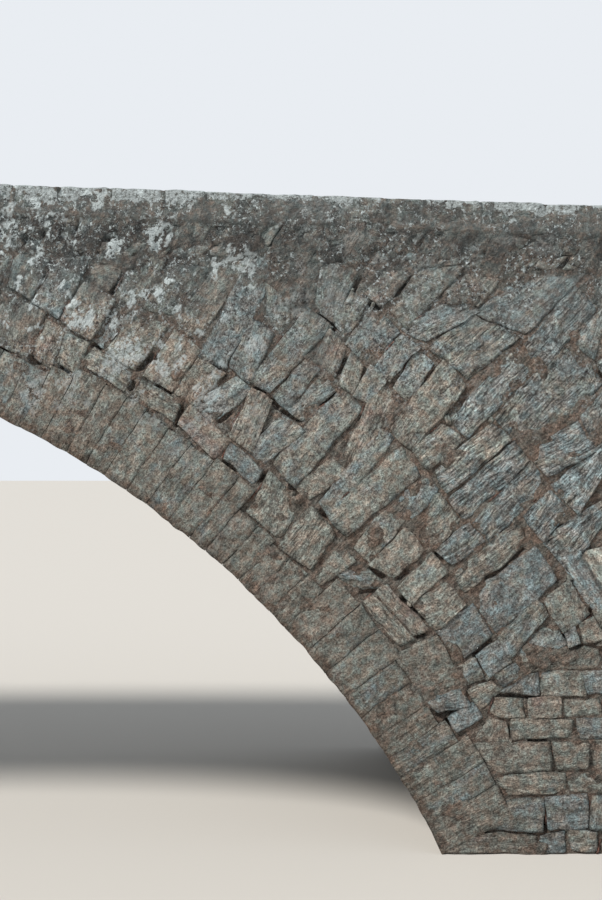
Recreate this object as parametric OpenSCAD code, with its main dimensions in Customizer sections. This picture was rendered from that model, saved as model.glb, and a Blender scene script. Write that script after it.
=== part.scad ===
// Old single-span stone bridge: a segmental arch with rings of dressed voussoirs,
// rubble spandrel and wing walls, solid parapets with coping stones, and a low humped road.
// Millimetres. +X runs along the road, +Y across it and +Z up. The near face looks along -Y.
// The origin lies on the centre line, under the crown and level with the water.

/* [Arch] */
// Radius of the soffit curve
arch_radius = 9700; // [9000:50:10400]
// Height of the soffit at the crown above the water
arch_rise = 5350; // [4900:50:5700]
// Depth of the barrel behind the faces, from soffit to extrados
barrel_depth = 600; // [450:10:700]
// Depth of the earth over the barrel at the crown
crown_cover = 20; // [10:5:300]
// Distance from a springing to the joint where the wing walls begin
skewback_length = 1330; // [900:10:1900]

/* [Walls] */
// Distance between the two faces of the bridge
bridge_width = 4600; // [3600:50:6000]
// Thickness of the spandrel walls, wing walls and parapets
wall_thickness = 500; // [350:10:700]
// Distance from the crown to each end of the bridge
half_length = 13000; // [12000:100:16000]

/* [Road] */
// Thickness of the road surfacing at its edges
road_thickness = 110; // [60:5:200]
// Rise of the road from its edges to its centre line
road_camber = 40; // [5:1:80]
// Slope of the road and parapets away from the crown, in degrees
road_angle = 2.1; // [0:0.1:3.4]
// Distance from the crown over which the hump is rounded
hump_ease = 1500; // [600:50:3000]

/* [Parapets] */
// Height of the coping's top above the road's edges
parapet_height = 750; // [600:10:1100]
// Height of the bed joint under the parapets above the road's edges
parapet_bed = 50; // [0:5:120]
// Height of the coping stones
coping_height = 280; // [160:5:340]
// Overhang of the coping past each side of the parapet
coping_overhang = 10; // [0:1:60]
// Height of the sloped edge along the top of the coping
coping_chamfer = 45; // [10:1:80]
// Lengths of the coping stones, in turn from the crown to each end
coping_lengths = [540, 420, 610, 480, 700, 390, 570, 650, 450, 520];

/* [Ring stones] */
// Width of the keystone along the soffit
key_width = 270; // [200:5:360]
// Depth of the keystone from soffit to extrados
key_depth = 660; // [480:10:680]
// Widths of the other ring stones along the soffit, in turn from the keystone down
ring_widths = [
    230, 210, 270, 250, 270, 270, 200, 230, 220, 220,
    220, 220, 320, 290, 320, 260, 250, 230, 230, 290
];
// Depths of the same ring stones from soffit to extrados
ring_depths = [
    820, 800, 770, 600, 780, 820, 550, 560, 530, 540,
    540, 480, 540, 730, 560, 640, 600, 600, 640, 720
];
// Least height of walling between the ring stones and the parapet
ring_cover_height = 90; // [20:5:200]

/* [Joints] */
// Width of the mortar joints between dressed stones
joint_width = 14; // [6:1:24]
// Depth of the mortar behind the stones' faces
joint_recess = 25; // [8:1:40]

/* [Hidden] */

// Fineness of the arch's curves
$fn = 720;

// The arch's centre lies under the water
centre_z = arch_rise - arch_radius;
// Angle from the crown to a springing, where the soffit meets the water
spring_angle = acos(-centre_z / arch_radius);
spring_length = arch_radius * spring_angle * PI / 180;
wing_x = arch_radius * sin(spring_angle) + skewback_length;

// Half of the road's width: the walls' inner faces stand at its edges
road_half = bridge_width / 2 - wall_thickness;

// Levels at the crown, each built up from the one below it
road_base_top = arch_rise + barrel_depth + crown_cover;
road_edge_top = road_base_top + road_thickness;
bed_top = road_edge_top + parapet_bed;
coping_top = road_edge_top + parapet_height;
coping_bed_top = coping_top - coping_height;

// Fall of the hump below its crown: rounded over the crown and straight further out
function fall(x) = tan(road_angle) * (sqrt(x * x + hump_ease * hump_ease) - hump_ease);

// Equally spaced points along the bridge from x0 to x1
function stations(x0, x1, count) = [for (i = [0:count]) x0 + (x1 - x0) * i / count];
span_stations = stations(0, wing_x, 10);
wing_stations = stations(wing_x, half_length, 3);
all_stations = concat(span_stations, [for (i = [1:3]) wing_stations[i]]);

// A line that runs over the hump, from its level at the crown
function hump_line(xs, level) = [for (x = xs) [x, level - fall(x)]];

function reversed(list) = [for (i = [len(list) - 1:-1:0]) list[i]];
function mirrored(list) = [for (p = list) [-p[0], p[1]]];

// A point of the arch in the plane of a face, from its radius and its angle off the crown
function arch_point(r, a) = [r * sin(a), centre_z + r * cos(a)];

// Width and depth listed for ring stone i, counted from the keystone down
function listed_width(i) = ring_widths[i % len(ring_widths)];
function listed_depth(i) = ring_depths[i % len(ring_depths)];

// Soffit lengths from the crown to each joint of the ring; the springer takes what is left
least_springer = 0.6;
function joint_lengths(s, i = 0) =
    s > spring_length - least_springer * listed_width(i) ? [spring_length]
    : concat([s], joint_lengths(s + listed_width(i), i + 1));
joint_angles = [for (s = joint_lengths(key_width / 2)) s / arch_radius * 180 / PI];

// Depth that a ring stone may have under the parapet's bed, where its lower joint is at angle a
function room(a) =
    (bed_top - fall(arch_radius * sin(a)) - ring_cover_height - centre_z) / cos(a) - arch_radius;
function ring_depth(i) = min(listed_depth(i), room(joint_angles[i]));

// Numbers of stones, counted from the keystone, after which the ring's parts end
crown_share = 0.19;
haunch_share = 0.6;
foot_stones = len(joint_angles) - 1;
crown_stones = round(foot_stones * crown_share);
haunch_stones = round(foot_stones * haunch_share);
crown_angle = joint_angles[crown_stones];
haunch_angle = joint_angles[haunch_stones];
shoulder_angle = joint_angles[round((crown_stones + haunch_stones) / 2)];

// Turns a drawing of a face upright, from y0 to y1 across the bridge
module across(y0, y1) {
    translate([0, y1, 0]) rotate([90, 0, 0]) linear_extrude(y1 - y0) children();
}

module in_near_wall() {
    across(-bridge_width / 2, -road_half) children();
}

module between_walls() {
    across(-road_half, road_half) children();
}

module left() {
    mirror([1, 0, 0]) children();
}

module far() {
    mirror([0, 1, 0]) children();
}

// One wedge-shaped stone of the near ring, from angle a0 to a1, inside its share of the joints
module ring_stone(a0, a1, depth) {
    outer_radius = arch_radius + depth - joint_width / 2;
    inset = asin(joint_width / 2 / arch_radius);
    outer_inset = asin(joint_width / 2 / outer_radius);
    color("#8f877c") in_near_wall() polygon([
        arch_point(arch_radius, a0 + inset), arch_point(outer_radius, a0 + outer_inset),
        arch_point(outer_radius, a1 - outer_inset), arch_point(arch_radius, a1 - inset)
    ]);
}

// The mortar that beds the stones, from a stepped back down to the soffit
module ring_bed(back, angles) {
    soffit = [for (a = angles) arch_point(arch_radius + joint_recess, a)];
    color("#a39a8a") across(joint_recess - bridge_width / 2, -road_half)
        polygon(concat(back, reversed(soffit)));
}

// The ring's stepped back over stones first to last - 1
function ring_back(first, last) = [for (i = [first:last - 1]) each [
    arch_point(arch_radius + ring_depth(i), joint_angles[i]),
    arch_point(arch_radius + ring_depth(i), joint_angles[i + 1])
]];

function joints_between(first, last) = [for (i = [first:last]) joint_angles[i]];

// Stones first to last - 1 of the near ring's right half
module near_ring(first, last) {
    for (i = [first:last - 1]) ring_stone(joint_angles[i], joint_angles[i + 1], ring_depth(i));
    ring_bed(ring_back(first, last), joints_between(first, last));
}

// The near ring's top, with the keystone in its middle
module near_ring_crown() {
    key_joint = joint_angles[0];
    ring_stone(-key_joint, key_joint, key_depth);
    for (i = [0:crown_stones - 1]) {
        ring_stone(joint_angles[i], joint_angles[i + 1], ring_depth(i));
        ring_stone(-joint_angles[i + 1], -joint_angles[i], ring_depth(i));
    }
    back = concat([arch_point(arch_radius + key_depth, key_joint)], ring_back(0, crown_stones));
    angles = joints_between(0, crown_stones);
    ring_bed(concat(reversed(mirrored(back)), back), concat(reversed(-angles), angles));
}

// The barrel between two angles, from face ring to face ring
module barrel(a0, a1) {
    color("#948b7d") translate([0, 0, centre_z]) rotate([90, 0, 0]) rotate([0, 0, 90 - a1])
        rotate_extrude(angle = a1 - a0)
            translate([arch_radius, -road_half]) square([barrel_depth, 2 * road_half]);
}

// Spandrel wall of the near face, right half, from the ring's back up to the parapet
module near_spandrel() {
    key_corner = arch_point(arch_radius + key_depth, joint_angles[0]);
    key_back = [0, key_corner[1]];
    springing = arch_point(arch_radius, spring_angle);
    color("#847b70") in_near_wall() polygon(concat(
        [key_back, key_corner], ring_back(0, foot_stones), [springing, [wing_x, 0]],
        reversed(hump_line(span_stations, bed_top))
    ));
}

// Wing wall of the near face, right half, beyond the springing
module near_wing() {
    color("#7f776c") in_near_wall() polygon(concat(
        [[wing_x, 0], [half_length, 0]], reversed(hump_line(wing_stations, bed_top))
    ));
}

// Rubble and earth over the right half of the barrel, with the seat of its foot
module haunch_fill() {
    far_out = arch_point(2 * (arch_radius + barrel_depth), spring_angle);
    color("#6f675b") between_walls() difference() {
        polygon(concat(
            [[0, centre_z], arch_point(arch_radius, spring_angle), [wing_x, 0]],
            reversed(hump_line(span_stations, road_base_top))
        ));
        difference() {
            translate([0, centre_z]) circle(arch_radius + barrel_depth);
            polygon([[0, centre_z], [far_out[0], centre_z], far_out]);
        }
    }
}

// Masonry and earth behind the right springing, between the wing walls
module abutment() {
    color("#6f675b") between_walls() polygon(concat(
        [[wing_x, 0], [half_length, 0]], reversed(hump_line(wing_stations, road_base_top))
    ));
}

// Height of the road's surface at distance y from its centre line
function road_top(x, y) =
    road_edge_top - fall(x) + road_camber * (1 - pow(y / road_half, 2));

// Road of the right half, cambered across and humped along
module road() {
    strips = 6;
    spans = len(all_stations) - 1;
    row = strips + 1;
    ys = stations(-road_half, road_half, strips);
    top = [for (x = all_stations) for (y = ys) [x, y, road_top(x, y)]];
    base = [for (x = all_stations) for (y = ys) [x, y, road_base_top - fall(x)]];
    under = len(top);
    corners = [for (i = [0:spans - 1]) for (j = [0:strips - 1]) i * row + j];
    top_faces = [for (q = corners) [q, q + 1, q + row + 1, q + row]];
    base_faces = [for (f = top_faces) [for (v = reversed(f)) under + v]];
    near_side = [for (i = [0:spans - 1])
        [i * row, (i + 1) * row, under + (i + 1) * row, under + i * row]];
    far_side = [for (f = near_side) [for (v = reversed(f)) v + strips]];
    across_row = [for (j = [0:strips]) j];
    last = spans * row;
    crown_end = concat(reversed(across_row), [for (j = across_row) under + j]);
    outer_end = concat(
        [for (j = across_row) last + j], [for (j = reversed(across_row)) under + last + j]
    );
    color("#8a8478") polyhedron(
        points = concat(top, base),
        faces = concat(top_faces, base_faces, near_side, far_side, [crown_end, outer_end])
    );
}

// Parapet of the near face, right half, up to the bed of its coping
module near_parapet() {
    color("#7d7569") in_near_wall() polygon(concat(
        hump_line(all_stations, bed_top), reversed(hump_line(all_stations, coping_bed_top))
    ));
}

// Where the coping's joints lie, from the crown to the end of the bridge
least_end_stone = 0.6;
function listed_length(i) = coping_lengths[i % len(coping_lengths)];
function coping_joints(x = 0, i = 0) =
    x > half_length - least_end_stone * listed_length(i) ? [half_length]
    : concat([x], coping_joints(x + listed_length(i), i + 1));

// A coping stone's length of section, its top edges sloped to throw off the rain
module coping_stone(length) {
    half_width = wall_thickness / 2 + coping_overhang;
    slope_width = 2 * coping_chamfer;
    rotate([90, 0, 90]) linear_extrude(length, center = true) polygon([
        [-half_width, joint_width - coping_height], [half_width, joint_width - coping_height],
        [half_width, -coping_chamfer], [half_width - slope_width, 0],
        [slope_width - half_width, 0], [-half_width, -coping_chamfer]
    ]);
}

// Coping of the near parapet, right half: its stones on their mortar bed
module near_coping() {
    joints = coping_joints();
    wall_middle = (wall_thickness - bridge_width) / 2;
    color("#a8a297") for (i = [0:len(joints) - 2]) {
        length = joints[i + 1] - joints[i];
        middle = joints[i] + length / 2;
        slope = atan2(fall(joints[i + 1]) - fall(joints[i]), length);
        translate([middle, wall_middle, coping_top - fall(middle)]) rotate([0, slope, 0])
            coping_stone(length / cos(slope) - joint_width);
    }
    bed_level = coping_top - coping_chamfer - joint_recess;
    color("#a39a8a") across(joint_recess - bridge_width / 2, -road_half - joint_recess) polygon(concat(
        hump_line(all_stations, coping_bed_top), reversed(hump_line(all_stations, bed_level))
    ));
}

near_ring_crown();  // ring_near_crown
left() near_ring(crown_stones, haunch_stones);  // ring_near_left_haunch
near_ring(crown_stones, haunch_stones);  // ring_near_right_haunch
left() near_ring(haunch_stones, foot_stones);  // ring_near_left_foot
near_ring(haunch_stones, foot_stones);  // ring_near_right_foot
far() near_ring_crown();  // ring_far_crown
far() left() near_ring(crown_stones, haunch_stones);  // ring_far_left_haunch
far() near_ring(crown_stones, haunch_stones);  // ring_far_right_haunch
far() left() near_ring(haunch_stones, foot_stones);  // ring_far_left_foot
far() near_ring(haunch_stones, foot_stones);  // ring_far_right_foot
barrel(-crown_angle, crown_angle);  // barrel_crown
left() barrel(crown_angle, shoulder_angle);  // barrel_left_shoulder
barrel(crown_angle, shoulder_angle);  // barrel_right_shoulder
left() barrel(shoulder_angle, haunch_angle);  // barrel_left_haunch
barrel(shoulder_angle, haunch_angle);  // barrel_right_haunch
left() barrel(haunch_angle, spring_angle);  // barrel_left_foot
barrel(haunch_angle, spring_angle);  // barrel_right_foot
left() near_spandrel();  // spandrel_near_left
near_spandrel();  // spandrel_near_right
far() left() near_spandrel();  // spandrel_far_left
far() near_spandrel();  // spandrel_far_right
left() near_wing();  // wing_near_left
near_wing();  // wing_near_right
far() left() near_wing();  // wing_far_left
far() near_wing();  // wing_far_right
left() haunch_fill();  // haunch_fill_left
haunch_fill();  // haunch_fill_right
left() abutment();  // abutment_left
abutment();  // abutment_right
left() road();  // road_left
road();  // road_right
left() near_parapet();  // parapet_near_left
near_parapet();  // parapet_near_right
far() left() near_parapet();  // parapet_far_left
far() near_parapet();  // parapet_far_right
left() near_coping();  // coping_near_left
near_coping();  // coping_near_right
far() left() near_coping();  // coping_far_left
far() near_coping();  // coping_far_right
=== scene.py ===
"""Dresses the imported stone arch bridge: cut ring stones, pitched rubble, mortar, coping, vault and road.

Every stone is a small closed surface worked out on a grid. Lengths are in metres, in the frame's axes.
"""
import math
from functools import cache, partial, reduce
from itertools import cycle, pairwise

import bpy
import numpy as np
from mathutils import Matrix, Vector


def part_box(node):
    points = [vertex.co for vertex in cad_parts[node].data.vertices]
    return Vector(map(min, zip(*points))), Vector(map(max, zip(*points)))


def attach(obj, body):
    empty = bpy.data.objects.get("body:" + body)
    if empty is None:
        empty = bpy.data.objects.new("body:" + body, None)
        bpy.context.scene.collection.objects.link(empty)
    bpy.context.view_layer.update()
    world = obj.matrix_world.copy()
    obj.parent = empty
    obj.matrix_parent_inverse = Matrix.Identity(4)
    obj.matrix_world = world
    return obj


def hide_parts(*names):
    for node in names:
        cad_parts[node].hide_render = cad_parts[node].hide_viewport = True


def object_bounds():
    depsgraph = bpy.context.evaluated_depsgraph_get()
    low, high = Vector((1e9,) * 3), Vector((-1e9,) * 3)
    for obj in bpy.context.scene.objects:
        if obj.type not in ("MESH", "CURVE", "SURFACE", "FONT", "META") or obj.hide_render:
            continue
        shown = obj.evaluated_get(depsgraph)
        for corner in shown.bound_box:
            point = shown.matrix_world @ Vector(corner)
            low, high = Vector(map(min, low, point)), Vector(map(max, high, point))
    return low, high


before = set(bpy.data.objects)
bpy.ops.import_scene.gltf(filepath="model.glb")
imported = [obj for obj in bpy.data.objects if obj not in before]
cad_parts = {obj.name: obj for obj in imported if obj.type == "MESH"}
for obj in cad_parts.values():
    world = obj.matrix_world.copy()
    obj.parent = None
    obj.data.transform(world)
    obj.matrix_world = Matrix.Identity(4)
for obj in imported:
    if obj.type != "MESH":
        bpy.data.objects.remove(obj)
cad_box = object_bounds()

bl_info = {
    "name": "Stone arch bridge",
    "version": (1, 0, 0),
    "blender": (4, 5, 0),
    "location": "View3D > Sidebar > Bridge",
    "description": "Lays the stones, mortar, coping and road of a rubble stone bridge around its frame",
    "category": "Object",
}

# Sizes that the frame gives
HALF_LENGTH = float(cad_box[1][0])
FACE_Y = -float(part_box("spandrel_near_right")[0].y)
ROAD_HALF = -float(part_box("spandrel_near_right")[1].y)
WALL = FACE_Y - ROAD_HALF
OVERHANG = float(cad_box[1][1]) - FACE_Y
WING_X = float(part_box("wing_near_right")[0].x)
BED_TOP = float(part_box("spandrel_near_right")[1].z)
COPING_BED = float(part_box("parapet_near_right")[1].z)
ROAD_TOP = float(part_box("road_right")[1].z)
# Level of the coping's top at the crown, and the arch's radius and centre, as the frame's stones are cut
COPING_TOP = 6.83
SOFFIT_RADIUS = 9.7
CENTRE_Z = -4.35
# Slope of the road away from the crown, and the length over which its hump is eased
ROAD_SLOPE = math.tan(math.radians(2.1))
HUMP_EASE = 1.5

# The rubble's pitched stones end at about this angle off the crown or this distance along x
PITCHED_ANGLE = math.radians(57.5)
PITCHED_X = 10.6
# Usual depth of the ring, and the radius past which no band of pitched stones is needed
RING_DEPTH = 0.6
LAST_RADIUS = 17.0
# The frame's ring stones stand 14 mm apart, and growing each side by this makes them all but meet
RING_GROWTH = 0.0064 / SOFFIT_RADIUS
# Lengths of the coping stones from the crown outwards, used over and over
COPING_LENGTHS = (0.54, 0.42, 0.61, 0.48, 0.70, 0.39, 0.57, 0.65, 0.45, 0.52)
# Depth of the wheel tracks, how far each is from the middle of the road, and its half-width
TRACK_DEPTH, TRACK_Y, TRACK_HALF = 0.012, 0.75, 0.22
# The road's camber, and its thickness under the crown
CAMBER, ROAD_THICKNESS = 0.04, 0.15

SIDES = {"right": 1.0, "left": -1.0}
# Each quarter's name, its signs along x and y, its seed, and the seed that both quarters of a face share
QUARTERS = (("near_right", 1.0, -1.0, 11, 11), ("near_left", -1.0, -1.0, 23, 11),
            ("far_right", 1.0, 1.0, 37, 37), ("far_left", -1.0, 1.0, 53, 37))
# The quarter that is looked at from close by, whose stones are cut finest
CLOSE = "near_right"
# What sets the seeds of the parapets' inner sides apart from the outer ones'
INSIDE = 300
# Signs of a quadrilateral's corners, in turn
CORNERS = ((-1, -1), (1, -1), (1, 1), (-1, 1))

# Odd numbers that scatter a lattice point's three steps and its seed
SCATTER = (73856093, 19349663, 83492791, 2654435761)


def srgb(code):
    """A hex colour turned to linear light."""
    values = [int(code[i:i + 2], 16) / 255 for i in (1, 3, 5)]
    return tuple(v / 12.92 if v <= 0.04045 else ((v + 0.055) / 1.055) ** 2.4 for v in values) + (1.0,)


def size_property(name, description, default):
    """A length for the panel."""
    return bpy.props.FloatProperty(name=name, description=description, default=default, unit="LENGTH")


def colour_property(name, description, code):
    """A colour for the panel, from its hex code."""
    return bpy.props.FloatVectorProperty(
        name=name, description=description, default=srgb(code), size=4, subtype="COLOR")


class BridgeSizes(bpy.types.PropertyGroup):
    """Sizes of the stones and joints"""

    joint: size_property("Joint", "Width of the joints between rubble stones", 0.009)
    band: size_property("Band", "Usual length of a pitched stone along the arch's radius", 0.52)
    mortar_recess: size_property("Mortar recess", "Depth of the mortar behind the wall's face", 0.036)
    open_joint: size_property("Open joint", "Depth of the joints that have lost their mortar", 0.1)


class BridgeColours(bpy.types.PropertyGroup):
    """Colours of the stones, the mortar and what grows on them"""

    plain: colour_property("Plain", "Commonest stone", "#8f8f89")
    warm: colour_property("Warm", "Stones with a tan cast", "#908b84")
    pink: colour_property("Pink", "Stones with a pink cast", "#8e8581")
    blue: colour_property("Blue", "Slabs with a blue cast", "#858d90")
    slip: colour_property("Slip", "Thin red stones driven into joints", "#6b5048")
    mortar: colour_property("Mortar", "Mortar in the joints", "#94908a")
    brown: colour_property("Brown", "Stain and brown mortar", "#83786f")
    # Painted shade: mortar set back in the joints takes this darker colour in place of the shade that falls
    # there
    joint: colour_property("Joint", "Damp mortar at the back of the joints", "#70665f")
    growth: colour_property("Growth", "Dark growth under the coping", "#37383a")
    algae: colour_property("Algae", "Grey film under the coping", "#788081")
    lichen: colour_property("Lichen", "Pale spots", "#cbd7da")
    crust: colour_property("Crust", "Blue-grey crust along the coping", "#a7b0b2")
    grit: colour_property("Grit", "The road's surface", "#85827b")


def smooth_step(low, high, value):
    """0 at low, 1 at high, and the cubic t * t * (3 - 2 t) between them."""
    t = np.clip((value - low) / (high - low), 0.0, 1.0)
    return t * t * (3.0 - 2.0 * t)


def lattice_noise(points, cell, seed):
    """Random values on a cubic lattice with the given cell, blended along an S curve; from -1 to 1."""
    scaled = points / cell
    corner = np.floor(scaled).astype(np.int64)
    part = scaled - corner
    part = part * part * (3.0 - 2.0 * part)
    total = np.zeros(points.shape[:-1])
    for steps in np.ndindex(2, 2, 2):
        key, weight = seed * SCATTER[3], 1.0
        for axis, step in enumerate(steps):
            key = key ^ (corner[..., axis] + step) * SCATTER[axis]
            weight = weight * (part[..., axis] if step else 1 - part[..., axis])
        key = key & 0xFFFFFFFF
        key = ((key ^ key >> 15) * 0x2C1B3C6D) & 0xFFFFFFFF
        key = ((key ^ key >> 12) * 0x297A2D39) & 0xFFFFFFFF
        total = total + (((key ^ key >> 15) & 0xFFFF) / 32767.5 - 1.0) * weight
    return total


def rough_noise(points, cell, seed, octaves=3):
    """A sum of lattice noises, each with half the cell and 0.55 of the height of the one before."""
    return sum(0.55**k * lattice_noise(points, cell / 2**k, seed + 17 * k) for k in range(octaves))


def flat_points(p, q, third=0.0):
    """Coordinates on a face, and a third number, as points for the noises."""
    return np.stack(np.broadcast_arrays(*(np.asarray(part, float) for part in (p, q, third))), axis=-1)


def grid(*spans):
    """Two arrays of coordinates over a grid; each span is a start, an end and a number of points."""
    return np.meshgrid(*(np.linspace(*span) for span in spans))


def arch_xz(r, a):
    """The point at radius r and angle a off the crown: (r sin a, centre + r cos a)."""
    return r * np.sin(a), CENTRE_Z + r * np.cos(a)


def fall(x):
    """Fall of the road below the crown: slope * (sqrt(x * x + ease * ease) - ease)."""
    return ROAD_SLOPE * (np.sqrt(x * x + HUMP_EASE**2) - HUMP_EASE)


def wall_top(x):
    """Level of the parapet's bed, which falls with the road."""
    return BED_TOP - fall(x)


def ragged_top(x, seed):
    """Where the pitched stones end: the parapet's bed with a slow wander of 100 mm."""
    return wall_top(x) + 0.1 * lattice_noise(flat_points(x, 0.0), 0.7, seed + 61)


def ray_to(top, a):
    """Distance from the arch's centre to a line top(x) along the angle a off the crown, in four steps."""
    r = (BED_TOP - CENTRE_Z) / np.cos(a)
    for _ in range(4):
        r = (top(r * np.sin(a)) - CENTRE_Z) / np.cos(a)
    return r


class Face:
    """A face of the bridge: its formula turns coordinates on it, and a distance out of it, into a point."""

    def __init__(self, seed, formula):
        self.seed = seed
        self.formula = formula

    def place(self, p, q, out):
        """Points at the coordinates p and q, at the distance out."""
        return np.stack(self.formula(p, q, out), axis=-1)


def wall_face(side_x, side_y, y, seed, turn=1.0):
    """An upright face along the bridge: x and z run in it, and y is across it."""
    return Face(seed, lambda p, q, out: (
        side_x * np.clip(p, -HALF_LENGTH, HALF_LENGTH), side_y * (y + turn * out), np.maximum(q, 0.0)))


def end_face(side_x, seed):
    """The upright face across the bridge's end: y and z run in it."""
    return Face(seed, lambda p, q, out: (side_x * (HALF_LENGTH + out), p, np.maximum(q, 0.0)))


def soffit_face(seed):
    """The vault's underside: p is arc length from the crown, q is y, and out is towards the centre."""

    def formula(p, q, out):
        x, z = arch_xz(SOFFIT_RADIUS - out, p / SOFFIT_RADIUS)
        return x, q, z

    return Face(seed, formula)


def road_face(side_x, seed):
    """The road: x and y run in it, and out is height above the hump's fall."""
    return Face(seed, lambda p, q, out: (side_x * p, q, out - fall(p)))


def rim_of(rows, columns):
    """Numbers of the points around the edge of a grid, in turn."""
    index = np.arange(rows * columns).reshape(rows, columns)
    return np.concatenate([index[0], index[1:, -1], index[-1, -2::-1], index[-2:0:-1, 0]])


def grid_quads(rows, columns):
    """Quads between a grid's points, which are numbered along its rows."""
    a = np.arange(rows * columns).reshape(rows, columns)[:-1, :-1].ravel()
    return np.stack([a, a + 1, a + columns + 1, a + columns], axis=1)


def strip_quads(first, second):
    """Quads between two closed runs of points."""
    return np.stack([first, second, np.roll(second, -1), np.roll(first, -1)], axis=1)


def facing_out(points, quad, face, p, q):
    """True where the quad's normal points out of the face."""
    a, b, _, d = points[quad]
    out = face.place(p, q, 0.01) - face.place(p, q, 0.0)
    return float(np.dot(np.cross(b - a, d - a), out)) > 0


def new_object(name, points, loops, face_sizes, smooth):
    """A mesh object from points, a run of faces' corners, and each face's corner count and smoothness."""
    mesh = bpy.data.meshes.new(name)
    starts = np.concatenate([[0], np.cumsum(face_sizes)[:-1]])
    mesh.vertices.add(len(points))
    mesh.vertices.foreach_set("co", np.ascontiguousarray(points, dtype=np.float32).ravel())
    mesh.loops.add(len(loops))
    mesh.loops.foreach_set("vertex_index", np.ascontiguousarray(loops, dtype=np.int32))
    mesh.polygons.add(len(face_sizes))
    mesh.polygons.foreach_set("loop_start", starts.astype(np.int32))
    mesh.polygons.foreach_set("use_smooth", np.asarray(smooth, dtype=bool))
    mesh.update(calc_edges=True)
    mesh.validate()
    # Where a smooth face meets a flat one the edge is sharp, so that neither bends the other's shading
    corners, edges = (np.empty(len(part), dtype=np.int32) for part in (mesh.polygons, mesh.loops))
    round_faces = np.empty(len(mesh.polygons), dtype=bool)
    mesh.polygons.foreach_get("loop_total", corners)
    mesh.polygons.foreach_get("use_smooth", round_faces)
    mesh.loops.foreach_get("edge_index", edges)
    by_corner = np.repeat(round_faces, corners)
    counts = [np.bincount(edges[side], minlength=len(mesh.edges)) for side in (by_corner, ~by_corner)]
    mesh.edges.foreach_set("use_edge_sharp", (counts[0] > 0) & (counts[1] > 0))
    obj = bpy.data.objects.new(name, mesh)
    bpy.context.scene.collection.objects.link(obj)
    return obj


class Build:
    """Gathers closed surfaces into one mesh, with a tone and a local place for each point."""

    def __init__(self):
        self.points, self.loops, self.sizes, self.smooth, self.tones, self.local = [], [], [], [], [], []
        self.count = 0

    def add(self, points, faces, tones, local, flip=False):
        """Adds n blocks of k points. Faces are pairs: corners in one block, and whether they are smooth.

        Each point has a tone of 4 numbers and a local place of 2. Flip turns the faces round.
        """
        blocks, size = points.shape[:2]
        starts = self.count + size * np.arange(blocks)[:, None, None]
        for corners, smooth in faces:
            self.loops.append((starts + (corners[:, ::-1] if flip else corners)).ravel())
            self.sizes.append(np.full(blocks * len(corners), corners.shape[1]))
            self.smooth.append(np.full(blocks * len(corners), smooth))
        for gathered, values in ((self.points, points), (self.tones, tones), (self.local, local)):
            gathered.append(values.reshape(blocks * size, -1))
        self.count += blocks * size

    def finish(self, name, finish, slot, *nodes):
        """Makes the piece, with its tones as an attribute and its local places as a UV map."""
        points, loops, sizes, smooth, tones, local = (np.concatenate(part) for part in (
            self.points, self.loops, self.sizes, self.smooth, self.tones, self.local))
        obj = new_object(name, points, loops, sizes, smooth)
        mesh = obj.data
        tone = mesh.attributes.new("tone", "FLOAT_COLOR", "POINT")
        tone.data.foreach_set("color", tones.astype(np.float32).ravel())
        corner_points = np.empty(len(mesh.loops), dtype=np.int32)
        mesh.loops.foreach_get("vertex_index", corner_points)
        layer = mesh.uv_layers.new(name="stone_place")
        layer.data.foreach_set("uv", local.astype(np.float32)[corner_points].ravel())
        mesh.materials.append(finish_of(finish))
        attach(obj, "root")
        if nodes:
            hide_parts(*nodes)


def finish_pair(node, slot, stones, stone_finish, bed, bed_finish, bed_name="mortar"):
    """Makes the stones that stand for a node of the frame, and the mortar or render that beds them."""
    stones.finish(node + "_stones", stone_finish, slot, node)
    bed.finish("%s_%s" % (node, bed_name), bed_finish, slot)


# How stones are shaped, in metres. The outline stands half a joint inside the cell and wanders. The rim
# starts at a share of the half-width and drops away. The front tilts, swells, has a grain, is cut by
# chips and stands out no farther than the ceiling. The sides can be rough, take a side shade tone, which
# sets how far the finish darkens them as painted shade, and be shaded as one with the front. Apart is 1
# where each stone's noise is its own.
RUBBLE = {
    "joint": 0.008, "wander": 0.014, "rim_start": 0.84, "rim_drop": 0.013, "tilt": 0.014,
    "swell": 0.010, "grain": 0.006, "chips": 3, "chip_depth": 0.022, "ceiling": 0.009,
    "side_rough": 0.0, "side_shade_tone": 0.0, "soft_edge": True, "apart": 1.0,
}
RING = dict(
    RUBBLE, joint=0.004, wander=0.009, rim_start=0.86, rim_drop=0.009, tilt=0.003, swell=0.006,
    grain=0.0015, chips=1, chip_depth=0.004, ceiling=0.0, side_rough=0.004, side_shade_tone=0.8,
    soft_edge=False, apart=0.0)
PINNING = dict(
    RUBBLE, joint=0.0, wander=0.004, rim_drop=0.012, tilt=0.006, swell=0.003, grain=0.003, chips=0)


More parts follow.
